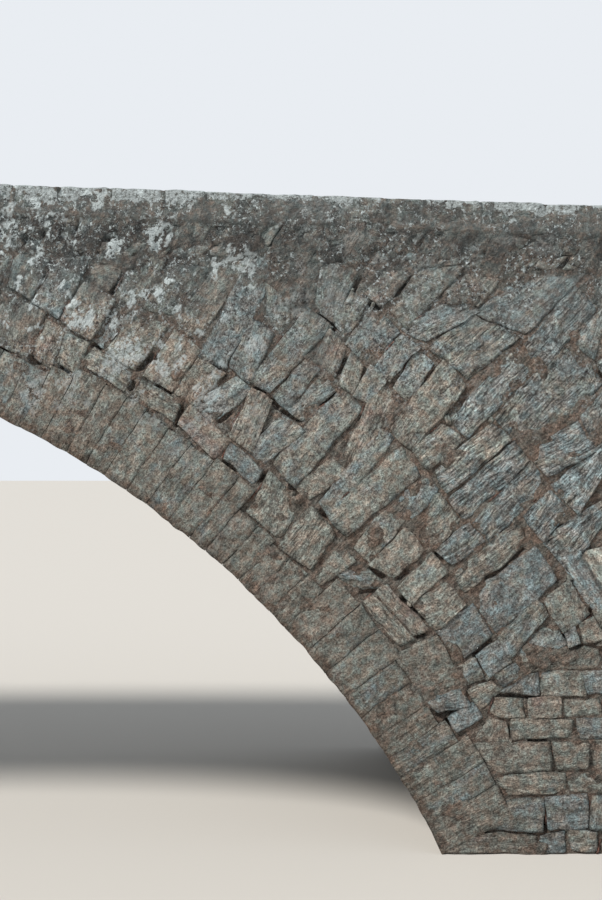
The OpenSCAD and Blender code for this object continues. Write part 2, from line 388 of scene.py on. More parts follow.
def stone_fronts(rng, face, corners, lift, k, across, along, look):
    """Where the points of the stones' fronts are, their heights, rim drops, own numbers and local places.

    A front is a grid of (u, v) from -1 to 1, drawn in at its corners: u * sqrt(1 - k v v / 2) and the
    same for v. The blend of the cell's four corners carries it into place. Its height is
    lift - rim drop * step(max(|u|, |v|)) + tilt + swell noise + grain noise stretched along the stone,
    cut by the lowest of a few leaning planes.
    """
    n = len(corners)
    # Points stand closer together towards the rim, where the front curves most
    steps = (np.linspace(-1, 1, count + 1) for count in (across, along))
    uu, vv = np.meshgrid(*(0.55 * np.sin(s * math.pi / 2) + 0.45 * s for s in steps))
    a, b, c, d = corners.transpose(1, 0, 2)
    width = np.linalg.norm((b + c - a - d) / 2, axis=1)[:, None, None]
    height = np.linalg.norm((c + d - a - b) / 2, axis=1)[:, None, None]
    su = uu * np.sqrt(1 - k * vv**2 / 2) * (1 - look["joint"] / width)
    sv = vv * np.sqrt(1 - k * uu**2 / 2) * (1 - look["joint"] / height)
    weights = np.stack([(1 + i * su) * (1 + j * sv) / 4 for i, j in CORNERS], axis=-1)
    place = np.einsum("nvuc,ncd->nvud", weights, corners)
    own = rng.uniform(0, 40, (n, 1, 1))
    spots = flat_points(place[..., 0], place[..., 1])
    alone = flat_points(place[..., 0], place[..., 1], own * look["apart"])
    for axis in (0, 1):
        place[..., axis] += look["wander"] * lattice_noise(spots, 0.16, face.seed + 5 * axis)
        place[..., axis] += look["wander"] * 0.7 * lattice_noise(alone, 0.08, 3 + 5 * axis)
    from_middle = np.maximum(np.abs(uu), np.abs(vv)) + 0.06 * lattice_noise(alone, 0.07, 14)
    drop = smooth_step(look["rim_start"], 1.0, from_middle) ** 1.5 * rng.uniform(0.3, 1.2, (n, 1, 1))
    tilt = rng.uniform(-1, 1, (2, n, 1, 1)) * look["tilt"]
    # Local places run across and along the stone's bed, which lies along its longer side
    lying = width > 1.15 * height
    local_u, local_v = su * width / 2, sv * height / 2
    local_u, local_v = np.where(lying, local_v, local_u), np.where(lying, local_u, local_v)
    bumps = look["swell"] * rough_noise(alone, 0.13, 11, 2)
    bumps += look["grain"] * rough_noise(flat_points(local_u, local_v * 0.4, own), 0.05, 12, 2)
    cut = lift + 0.003
    for _ in range(look["chips"]):
        lean = rng.uniform(-1, 1, (2, n, 1, 1))
        plane = rng.uniform(0.0, 0.7, (n, 1, 1)) + lean[0] * uu + lean[1] * vv
        cut = np.minimum(cut, lift + look["chip_depth"] * np.minimum(plane, 0.0))
    out = np.minimum(lift - look["rim_drop"] * drop + tilt[0] * uu + tilt[1] * vv, cut) + bumps
    local = np.stack([local_u, local_v], axis=-1).reshape(n, -1, 2)
    return place, np.minimum(out, look["ceiling"]), drop, own, local


def lay_stones(build, face, cells, across, along, depths, look):
    """Lays a closed block in each cell, a quadrilateral of the face.

    Outlines at the given depths follow the front's rim behind the face, and meet in a point at the back.
    """
    if not cells:
        return
    rng = np.random.default_rng(face.seed + len(cells))
    corners = np.array([cell["corners"] for cell in cells], dtype=float)
    n = len(corners)
    lift, k = (np.array([cell[key] for cell in cells])[:, None, None] for key in ("lift", "round"))
    place, out, drop, own, local = stone_fronts(rng, face, corners, lift, k, across, along, look)
    rim = rim_of(along + 1, across + 1)
    rim_p, rim_q = (place[..., axis].reshape(n, -1)[:, rim] for axis in (0, 1))
    blocks = [face.place(place[..., 0], place[..., 1], out).reshape(n, -1, 3)]
    for depth in depths:
        shaken = flat_points(rim_p, rim_q, own[..., 0] + depth * 5)
        stray = [look["side_rough"] * lattice_noise(shaken, 0.13, 21 + axis) for axis in (0, 1)]
        blocks.append(face.place(rim_p + stray[0], rim_q + stray[1], np.full(rim_p.shape, -depth)))
    middle = corners.mean(axis=1)
    blocks.append(face.place(middle[:, 0], middle[:, 1], np.full(n, -depths[-1]))[:, None, :])
    points = np.concatenate(blocks, axis=1)
    quads, front, around = grid_quads(along + 1, across + 1), out[0].size, np.arange(len(rim))
    runs = [rim] + [front + ring * len(rim) + around for ring in range(len(depths))]
    strips = np.concatenate([strip_quads(*pair) for pair in pairwise(runs)])
    back = np.stack([runs[-1], np.full(len(rim), points.shape[1] - 1), np.roll(runs[-1], -1)], axis=1)
    flip = not facing_out(points[0], quads[len(quads) // 2], face, *middle[0])
    tones = np.empty(points.shape[:2] + (4,))
    tones[..., :3] = np.array([cell["tone"] for cell in cells])[:, None, :]
    # The fourth tone is 1 less the rim drop on the front and the side shade tone on the sides; the stone
    # finishes darken by it as painted shade at the rims and in the joints
    tones[:, :front, 3] = 1 - drop.reshape(n, -1)
    tones[:, front:, 3] = look["side_shade_tone"]
    sides = [local[:, rim] + depth for depth in depths]
    local = np.concatenate([local, *sides, np.zeros((n, 1, 2))], axis=1)
    faces = [(quads, True), (strips, look["soft_edge"]), (back, False)]
    build.add(points, faces, tones, local + rng.uniform(0, 60, (n, 1, 2)), flip)


def lay_bed(build, face, p, q, out, back, curved=False):
    """A slab with a front of grid points p, q at heights out, straight sides and a back at a flat depth.

    Its tone is 1 where it lies flush with the face and 0 from 32 mm behind it. A curved slab's back
    repeats the whole grid. Otherwise one large face closes it.
    """
    quads, rim, front = grid_quads(*p.shape), rim_of(*p.shape), p.size
    flat = np.stack([p.ravel(), q.ravel()], axis=-1)
    kept = np.arange(front) if curved else rim
    around = front + (rim if curved else np.arange(len(rim)))
    closing = quads[:, ::-1] + front if curved else around[None, ::-1]
    points = np.concatenate([face.place(p, q, out).reshape(-1, 3),
                             face.place(flat[kept, 0], flat[kept, 1], np.full(len(kept), -back))])
    tones = np.zeros((len(points), 4))
    tones[:front, 0] = smooth_step(-0.032, -0.006, out).ravel()
    local = np.concatenate([flat, flat[kept]])
    faces = [(quads, True), (strip_quads(rim, around), False), (closing, curved)]
    flip = not facing_out(points, quads[len(quads) // 2], face, p[0, 0], q[0, 0])
    build.add(points[None], faces, tones[None], local[None], flip)


def near_segments(p, q, segments):
    """1 on the segments' lines, falling to 0 at each one's own reach."""
    nearest = np.full(p.shape, 9.0)
    for (ax, az), (bx, bz), reach in segments:
        length2 = max((bx - ax) ** 2 + (bz - az) ** 2, 1e-9)
        t = np.clip(((p - ax) * (bx - ax) + (q - az) * (bz - az)) / length2, 0.0, 1.0)
        nearest = np.minimum(nearest, np.hypot(p - ax - t * (bx - ax), q - az - t * (bz - az)) / reach)
    return smooth_step(1.0, 0.4, nearest + 0.35 * lattice_noise(flat_points(p, q), 0.05, 77))


def crown_shift(p, q, side_x, seed):
    """How far joints at the crown stray off x = 0, the same for both sides and fading out over 0.4 m."""
    return side_x * 0.1 * lattice_noise(flat_points(q, 0.0), 0.3, seed) * smooth_step(0.4, 0.0, p)


def mortar_level(p, q, side_x, seed, sizes, segments):
    """How far out a wall's mortar stands; side_x * p is the world's x, so both sides meet at the crown.

    Rough and recessed, with trowelled patches spread flush, a thick render towards the coping with lumps
    drawn out threefold along the arch's radii, and pits along the open joints.
    """
    spots = flat_points(side_x * p, q)
    level = -sizes.mortar_recess + 0.007 * rough_noise(spots, 0.1, seed + 31, 3)
    level = level + 0.008 * lattice_noise(spots, 0.35, seed + 32)
    patch = smooth_step(0.7, 0.78, lattice_noise(spots, 0.4, seed + 33) + 0.2 * lattice_noise(spots, 0.1, 4))
    level = level + patch * (0.03 + 0.002 * lattice_noise(spots, 0.2, 9))
    above = q - wall_top(p) + 0.16 * lattice_noise(spots, 0.4, seed + 35)
    render = smooth_step(-0.2, 0.15, above)
    x, z = side_x * p, q - CENTRE_Z
    radial = flat_points(12.0 * np.arctan2(x, z), 0.35 * np.hypot(x, z))
    lumps = 0.022 * rough_noise(radial, 0.1, seed + 39, 3)
    lumps -= 0.035 * smooth_step(0.45, 0.7, lattice_noise(spots, 0.09, 7))
    level = level * (1 - render) + render * (lumps - 0.01)
    pits = near_segments(p, q, segments) * (1 - 0.8 * render)
    return np.minimum(level - pits * (sizes.open_joint - sizes.mortar_recess), 0.006)


def slabs(x, z):
    """1 in the patch of large blue layered slabs above the haunch, falling to 0 around it."""
    along = smooth_step(8.2, 8.8, x) * smooth_step(11.4, 10.6, x)
    return float(along * smooth_step(2.4, 3.2, z) * smooth_step(5.9, 5.3, z))


def breaks(rng, start, end, least, most, scale=lambda at: 1.0):
    """Random joints from start to end; a short last stone is evened out with the one before it."""
    places = [start]
    while end - places[-1] > most * scale(places[-1]):
        places.append(places[-1] + rng.uniform(least, most) * scale(places[-1]))
    if len(places) > 1 and end - places[-1] < least:
        places[-1] = (places[-2] + end) / 2
    return places + [end]


def stone_tone(rng, x, z, seed):
    """Lightness, hue and layering of a stone, each from 0 to 1, drifting slowly along the wall.

    The slabs are lighter and bluer than the rest, and their layering goes up to 1.3.
    """
    spot = flat_points(x, z)
    light = rng.normal(0.5, 0.17) + 0.15 * float(lattice_noise(spot, 1.4, seed + 41))
    hue = 0.75 * rng.uniform(0, 1) + 0.25 * (0.5 + 0.5 * float(lattice_noise(spot, 1.1, seed + 43)))
    slab = slabs(x, z)
    hue += 0.65 * slab * (1 - hue)
    return [min(max(light + 0.1 * slab, 0.0), 1.0), hue, max(rng.uniform(0, 1), 1.3 * slab)]


def stone_cell(rng, corners, seed, dressed=False):
    """A cell with its tone, lift and rounding.

    Unless it is dressed its corners stray by about 10 mm, and one or two may be knocked off.
    """
    corners = np.array(corners, dtype=float)
    middle = np.mean(corners, axis=0)
    tone = stone_tone(rng, *middle, seed)
    if dressed:
        tone = [0.5 + 0.5 * (tone[0] - 0.5), 0.15 + 0.5 * tone[1], tone[2]]
        lifts, rounds = (-0.005, -0.001), (0.0, 0.05)
    else:
        number = rng.integers(0, 4)
        if rng.random() < 0.4:
            corners[number] += (middle - corners[number]) * rng.uniform(0.06, 0.22)
        if rng.random() < 0.2:
            number = (number + 1) % 4
            corners[number] += (middle - corners[number]) * rng.uniform(0.06, 0.18)
        corners += rng.normal(0, 0.009, (4, 2))
        lifts, rounds = (-0.022, -0.002), (0.02, 0.24)
    return {"corners": corners, "lift": rng.uniform(*lifts), "round": rng.uniform(*rounds), "tone": tone}


def bent(cells, seed, side_x, shared):
    """Moves the cells' corners by up to 45 mm with a slow wander, but not at the arch's back or the ends."""
    for cell in cells:
        p, q = cell["corners"].T
        keep = smooth_step(SOFFIT_RADIUS + 0.55, SOFFIT_RADIUS + 1.0, np.hypot(p, q - CENTRE_Z))
        keep = keep * smooth_step(0.0, 0.4, p) * smooth_step(HALF_LENGTH, HALF_LENGTH - 0.4, p)
        spots = flat_points(p, q)
        p += 0.045 * keep * lattice_noise(spots, 0.5, seed + 53)
        q += 0.045 * keep * lattice_noise(spots, 0.5, seed + 54) * smooth_step(0.0, 0.3, q)
        p += crown_shift(p, q, side_x, shared)
    return cells


def mesh_points(node):
    """Points of a node of the frame, with each one's radius and its angle off the crown."""
    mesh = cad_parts[node].data
    co = np.empty(len(mesh.vertices) * 3)
    mesh.vertices.foreach_get("co", co)
    co = co.reshape(-1, 3)
    return co, np.hypot(co[:, 0], co[:, 2] - CENTRE_Z), np.arctan2(co[:, 0], co[:, 2] - CENTRE_Z)


def ring_plan(node):
    """Start, end and depth of each ring stone of a node, from the points of its outer face."""
    co, r, a = mesh_points(node)
    on_face = np.abs(np.abs(co[:, 1]) - FACE_Y) < 1e-4
    r, a = r[on_face], a[on_face]
    inner = np.unique(np.round(a[r < SOFFIT_RADIUS + 0.01], 5))
    outer = r > SOFFIT_RADIUS + 0.1
    stones = []
    for start, end in zip(inner[0::2], inner[1::2]):
        mine = outer & (a > start - 0.002) & (a < end + 0.002)
        stones.append((float(start), float(end), float(r[mine].max()) - SOFFIT_RADIUS))
    return stones


def side_ring(quarter):
    """The ring stones of one quarter from the crown down, with angles counted as positive."""
    near_far, side = quarter.split("_")
    stones = ring_plan("ring_%s_crown" % near_far)
    for part in ("haunch", "foot"):
        stones += ring_plan("ring_%s_%s" % (quarter, part))
    turned = [(*sorted((SIDES[side] * a, SIDES[side] * b)), depth) for a, b, depth in stones]
    return sorted(stone for stone in turned if stone[1] > 0)


class Pitching:
    """Lays out the rubble over the arch: bands of stones that stand along its radii.

    The first band starts on the stepped back of the ring. A stone may reach through two bands or be two
    short ones, and each stands on what lies below it. The bands end at the wall's top and at a ragged
    line near the springing, past which the courses are level.
    """

    def __init__(self, rng, seed, ring, sizes):
        self.rng, self.seed, self.ring = rng, seed, ring
        self.radii = [SOFFIT_RADIUS + 0.62]
        while self.radii[-1] < LAST_RADIUS:
            self.radii.append(self.radii[-1] + sizes.band * rng.uniform(0.8, 1.2))
        self.tops = {}

    def top(self, x):
        """Level at which the bands end."""
        return ragged_top(x, self.seed)

    def last_angle(self, r):
        """Where the bands end at radius r: at an angle or a distance along x, both of which wander."""
        wander = float(lattice_noise(flat_points(r, 0.0), 0.45, self.seed + 71))
        return min(PITCHED_ANGLE + 0.012 * wander, math.asin(min((PITCHED_X + 0.12 * wander) / r, 1.0)))

    def start_of_courses(self, z):
        """Where a level course at height z starts: at the pitched stones or at the ring's back.

        Each is found in four steps, since its angle and its radius hang together.
        """
        x, back = 8.0, SOFFIT_RADIUS
        for _ in range(4):
            x = min(math.tan(self.last_angle(math.hypot(x, z - CENTRE_Z))) * (z - CENTRE_Z), PITCHED_X)
        for _ in range(4):
            x_back = math.sqrt(max(back**2 - (z - CENTRE_Z) ** 2, 0.0))
            angle = math.atan2(x_back, z - CENTRE_Z)
            back = self.ring_back(angle - 0.01, angle + 0.01)
        if angle > self.ring[-1][1]:
            return math.tan(self.ring[-1][1]) * (z - CENTRE_Z)
        return max(x, x_back)

    def ring_back(self, a, b):
        """Radius of the highest ring stone between two angles."""
        over = [d for start, end, d in self.ring if end > a + 0.004 and start < b - 0.004]
        return SOFFIT_RADIUS + (max(over) if over else RING_DEPTH)

    def below(self, k, a):
        """Radius on which a stone of band k stands at angle a."""
        for start, end, left, right in self.tops.get(k - 1, []):
            if start - 1e-9 <= a <= end + 1e-9:
                return left + (right - left) * (a - start) / max(end - start, 1e-9)
        return self.radii[k]

    def first_joints(self, start, stop):
        """Joints of the first band, at the joints of the ring.

        They stand at steps of over 70 mm in its back and wherever a stone gets 340 mm wide.
        """
        keep = [start]
        for (_, b, depth), (_, _, after) in pairwise(self.ring):
            width = (b - keep[-1]) * (SOFFIT_RADIUS + 0.9)
            if start < b < stop and width > 0.17 and (abs(depth - after) > 0.07 or width > 0.34):
                keep.append(b)
        if (stop - keep[-1]) * SOFFIT_RADIUS < 0.13 and len(keep) > 1:
            keep.pop()
        return keep + [stop]

    def cells(self):
        """Cells of all bands, each laid in the gaps that the long stones of the band below it leave."""
        cells = []
        for k, (low, high) in enumerate(pairwise(self.radii)):
            r = (low + high) / 2
            limit = self.last_angle(r)
            free, at = [], 0.0
            for a, b in sorted(top[:2] for top in self.tops.get(k, [])) + [(limit, limit)]:
                if a - at > 0.004:
                    free.append((at, min(a, limit)))
                at = max(at, b)
            for start, stop in free:
                joints = self.first_joints(start, stop) if k == 0 else [s / r for s in breaks(
                    self.rng, start * r, stop * r, 0.19, 0.4, lambda s: 1 + 0.5 * slabs(*arch_xz(r, s / r)))]
                for a, b in pairwise(joints):
                    cells += self.stone(k, a, b, limit)
        return cells

    def stone(self, k, a, b, limit):
        """The stone of band k between the angles a and b, as one cell, two or none."""
        rng, seed = self.rng, self.seed
        slack = 0.2 * (b - a)
        if k == 0:
            low = [self.ring_back(a, b)] * 2
        else:
            low = [self.below(k, a + slack), self.below(k, b - slack)]
        roof = [float(ray_to(self.top, angle)) for angle in (a, b)]
        # Less than 90 mm under the top is left to the mortar
        if min(roof) - max(low) < 0.09:
            return []
        # About one stone in four reaches through two bands, and most slabs do
        share = 0.24 + 0.5 * slabs(*arch_xz(low[0], a))
        long_one = k > 0 and rng.random() < share and b < limit - 0.01 and k + 2 < len(self.radii)
        reach = k + 2 if long_one else k + 1
        wander = lattice_noise(flat_points(np.array([a, b]) * 10, reach * 7.0), 0.9, seed + 51)
        high = self.radii[reach] + 0.05 * wander + rng.normal(0, 0.03)
        # No gap of under 130 mm is left below the top
        if max(high) > min(roof) - 0.13:
            high = roof
        high = [max(upper, lower + 0.1) for upper, lower in zip(high, low)]
        for band in range(k, reach):
            self.tops.setdefault(band, []).append((a, b, *high))
        lean = rng.normal(0, 0.0035) if a > 0 and b < limit - 1e-6 else 0.0
        right_low, right_high = (min(b + shift, self.last_angle(r))
                                 for shift, r in ((-lean, low[1]), (lean, high[1])))
        c = np.array([arch_xz(low[0], a - lean), arch_xz(low[1], right_low),
                      arch_xz(high[1], right_high), arch_xz(high[0], a + lean)])
        # Some of the tall cells hold two stones, one on the other
        outlines = [c]
        if sum(high) - sum(low) > 0.7 and rng.random() < 0.14:
            t, s = rng.uniform(0.35, 0.65) + rng.uniform(-0.05, 0.05, 2)
            left, right = c[0] * (1 - t) + c[3] * t, c[1] * (1 - s) + c[2] * s
            outlines = [[c[0], c[1], right, left], [left, right, c[2], c[3]]]
        return [stone_cell(rng, outline, seed) for outline in outlines]


def level_cells(rng, seed, x_from, x_to, z_from, z_top, least, most, low, high):
    """Cells of level courses from a line x_from(z) to x_to, from z_from up to a line z_top(x).

    Stones are from least to most wide, and courses from low to high. Those at x_to are quoins.
    """
    cells, z = [], z_from
    highest = max(float(z_top(x_to)), float(z_top(x_from(z_from))))
    while z < highest - 0.05:
        z_next = z + rng.uniform(low, high)
        if highest - z_next < low * 0.8:
            z_next = highest
        start = x_from((z + z_next) / 2)
        for a, b in pairwise(breaks(rng, start, x_to, least, most)):
            roof = [float(z_top(a)), float(z_top(b))]
            tops = roof if roof[0] - z_next < 0.07 else [min(z_next, r) for r in roof]
            if min(tops) - z < 0.05:
                continue
            left = [x_from(z), x_from(z_next)] if a == start else [a, a + rng.normal(0, 0.01)]
            right = [b, b] if b == x_to else [b, b + rng.normal(0, 0.01)]
            corners = [[left[0], z], [right[0], z], [right[1], tops[1]], [left[1], tops[0]]]
            cell = stone_cell(rng, corners, seed)
            cell["quoin"] = b == x_to
            cells.append(cell)
        z = z_next
    return cells


def open_joints(rng, cells, low_share, side_share):
    """Stretches of joints that have lost their mortar; the stone at each is drawn back a little.

    Each is two ends and how far it reaches to either side.
    """
    lines = []
    for cell in cells:
        c = cell["corners"]
        for first, second, share in ((0, 1, low_share), (1, 2, side_share)):
            if rng.random() > share:
                continue
            start, stop = np.sort(rng.uniform(0.0, 1.0, 2) * [0.6, 1.0])
            ends = (c[first] + (c[second] - c[first]) * at for at in (start, max(stop, start + 0.25)))
            lines.append((*ends, rng.uniform(0.03, 0.05)))
            inward = np.mean(c, axis=0) - (c[first] + c[second]) / 2
            c[[first, second]] += inward / max(np.linalg.norm(inward), 1e-6) * rng.uniform(0.004, 0.016)
    return lines


def pinning_cells(rng, seed, cells, share, slip_share):
    """Small stones driven into joints at the corners of some cells, and thin red slips along the sides."""
    small = []
    for cell in cells:
        if rng.random() > share:
            continue
        c = cell["corners"]
        axis = (c[3] - c[0]) / max(np.linalg.norm(c[3] - c[0]), 1e-6)
        slip = rng.random() < slip_share
        if slip:
            half_w, half_h = rng.uniform(0.008, 0.016), rng.uniform(0.04, 0.11)
            t = rng.uniform(0.25, 0.75)
            middle = c[0] * (1 - t) + c[3] * t
        else:
            half_w, half_h = rng.uniform(0.016, 0.034), rng.uniform(0.018, 0.045)
            middle = c[rng.integers(0, 4)]
        axis = axis + np.array([axis[1], -axis[0]]) * rng.normal(0, 0.1 if slip else 0.5)
        side = np.array([axis[1], -axis[0]])
        box = [middle + i * side * half_w + j * axis * half_h for i, j in CORNERS]
        tone = stone_tone(rng, *middle, seed)
        tone[1] = 1.3 if slip else 0.15 + 0.5 * tone[1]
        lift = rng.uniform(-0.034, -0.02) if slip else rng.uniform(-0.028, -0.01)
        small.append({"corners": box, "lift": lift, "round": 0.4, "tone": tone})
    return small


# Settings of a node that mixes two colours, and of one that multiplies them
BLEND = {"data_type": "RGBA"}
TINT = {"data_type": "RGBA", "blend_type": "MULTIPLY"}
# What lies between these limits is nearly all of a noise
MIDDLE = (0.3, 0.7)


def plug(socket, value):
    """Sets a socket to a value, or links it to an output or to a node's first output in use."""
    if isinstance(value, bpy.types.Node):
        value = next(output for output in value.outputs if output.enabled)
    if isinstance(value, bpy.types.NodeSocket):
        socket.id_data.links.new(value, socket)
    elif value is not None:
        socket.default_value = value


def add_node(tree, kind, *inputs, **settings):
    """Adds a node with its settings. Its sockets in use take the inputs in turn; None leaves one alone."""
    node = tree.nodes.new("ShaderNode" + kind)
    for key, value in settings.items():
        setattr(node, key, value)
    for socket, value in zip([socket for socket in node.inputs if socket.enabled], inputs):
        plug(socket, value)
    return node


def new_material(name, roughness):
    """A material, its shader, with a weak gloss, and add_node for its own tree."""
    material = bpy.data.materials.new(name)
    material.use_nodes = True
    shader = material.node_tree.nodes["Principled BSDF"]
    shader.inputs["Roughness"].default_value = roughness
    shader.inputs["Specular IOR Level"].default_value = 0.25
    return material, shader, partial(add_node, material.node_tree)


def product(add, *values):
    """The product of two or more values or outputs."""
    return reduce(lambda total, value: add("Math", total, value, operation="MULTIPLY"), values)


def weighted_sum(add, *pairs):
    """The sum of values or outputs, each times its weight."""
    return reduce(lambda total, pair: add("Math", product(add, *pair), total), pairs, 0.0)


def distance(add, value, centre):
    """How far a value lies from a centre: |value - centre|."""
    return add("Math", add("Math", value, centre, operation="SUBTRACT"), operation="ABSOLUTE")


def colour_of(name):
    """One of the panel's colours."""
    return tuple(getattr(bpy.context.scene.bridge_colours, name))


def patches(add, place, scale, detail, rough, *limits):
    """Noise with about scale patches to a metre; the first two limits become 0 and 1, or the other two."""
    return add("MapRange", add("TexNoise", place, scale, detail, rough), *limits)


def drawn_out(add, place, across, along, detail, rough):
    """Noise with about across patches to a metre, and along patches to a metre of the place's second part."""
    stretched = add("Mapping", place, None, None, (across, along, across))
    return add("TexNoise", stretched, 1.0, detail, rough)


def radial_place(add, coords):
    """Places along and across the arch's radii: (12 * angle off the crown, radius, y), and the radius."""
    x, y, z = add("SeparateXYZ", coords).outputs
    x, z = add("Math", x, operation="ABSOLUTE"), add("Math", z, CENTRE_Z, operation="SUBTRACT")
    angle = add("Math", x, z, operation="ARCTAN2")
    radius = add("Math", weighted_sum(add, (x, x), (z, z)), operation="SQRT")
    return add("CombineXYZ", product(add, angle, 12.0), radius, y), radius


def set_surface(add, shader, colour, relief, bump):
    """Gives the shader its colour and a fine relief, bump high."""
    plug(shader.inputs["Base Color"], colour)
    plug(shader.inputs["Normal"], add("Bump", 1.0, bump, None, relief))


def finish_surface(add, shader, coords, colour, relief, bump, lichen, dark, crust=0.0):
    """Adds a film, dark growth and pale lichen, thickest under the coping, then sets the colour and bump.

    Lichen comes in colonies 0.3 to 0.5 m wide, made up of spots of 10 to 40 mm.
    """
    x, _, height = add("SeparateXYZ", coords).outputs
    high = add("Math", height, patches(add, coords, 1.3, 4.0, 0.6, *MIDDLE, -0.5, 0.5))
    high = add("MapRange", high, 5.0, 6.1)
    # Each foot is darker, by up to 18 per cent from 4 m high down to 0.3 m
    colour = add("Mix", 1.0, colour, add("MapRange", height, 0.3, 4.0, 0.82, 1.0), **TINT)
    film = add("Mix", 0.75, colour, colour_of("algae"), **BLEND)
    colour = add("Mix", product(add, high, dark, 0.75), colour, film, **BLEND)
    # Pink and green-grey patches of 30 to 80 mm
    tint = patches(add, coords, 13.0, 3.0, 0.6, 0.4, 0.6)
    colour = add("Mix", 1.0, colour, add("Mix", tint, srgb("#fdf0e8"), srgb("#e8f4f5"), **BLEND), **TINT)
    # Dark growth comes in blotches of about 200 mm and in pits of 10 to 40 mm
    blotch = patches(add, coords, 5.0, 5.0, 0.8, 0.44, 0.58, 0.0, 0.75)
    pits = patches(add, coords, 26.0, 3.0, 0.8, 0.47, 0.4)
    colony = drawn_out(add, radial_place(add, coords)[0], 4.2, 3.0, 3.0, 0.6)
    # The colonies stand 3.5 to 6.5 m to either side of the crown, with few elsewhere
    stand = distance(add, add("Math", x, operation="ABSOLUTE"), 5.0)
    colony = product(add, add("MapRange", colony, 0.56, 0.6), add("MapRange", stand, 1.2, 2.4, 1.0, 0.12))
    speckle = add("TexNoise", coords, 24.0, 4.0, 0.8)
    spots = patches(add, coords, 18.0, 4.0, 0.7, 0.44, 0.48)
    # Some stretches are all but free of specks
    clean = patches(add, coords, 3.2, 3.0, 0.6, 0.4, 0.56)
    fleck = product(add, add("MapRange", speckle, 0.545, 0.61), clean)
    pits = product(add, pits, clean, add("MapRange", height, 3.0, 6.0, 0.4, 1.0))
    shadow = add("Math", product(add, blotch, high), pits, operation="MAXIMUM")
    colour = add("Mix", product(add, shadow, dark), colour, colour_of("growth"), **BLEND)
    fleck = product(add, fleck, add("MapRange", height, 2.0, 6.0, 0.3, 1.0))
    growth = add("Math", product(add, colony, spots), fleck, operation="MAXIMUM")
    growth = product(add, growth, add("MapRange", height, 4.0, 5.8, 0.15, 1.0), lichen)
    crust = product(add, add("MapRange", speckle, 0.38, 0.46), crust)
    scale = add("MapRange", speckle, 0.5, 0.62)
    crusted = add("Mix", scale, colour_of("crust"), colour_of("lichen"), **BLEND)
    colour = add("Mix", crust, colour, crusted, **BLEND)
    colour = add("Mix", growth, colour, colour_of("lichen"), **BLEND)
    set_surface(add, shader, colour, weighted_sum(add, (relief, 1.0), (growth, 0.08), (crust, 0.1)), bump)


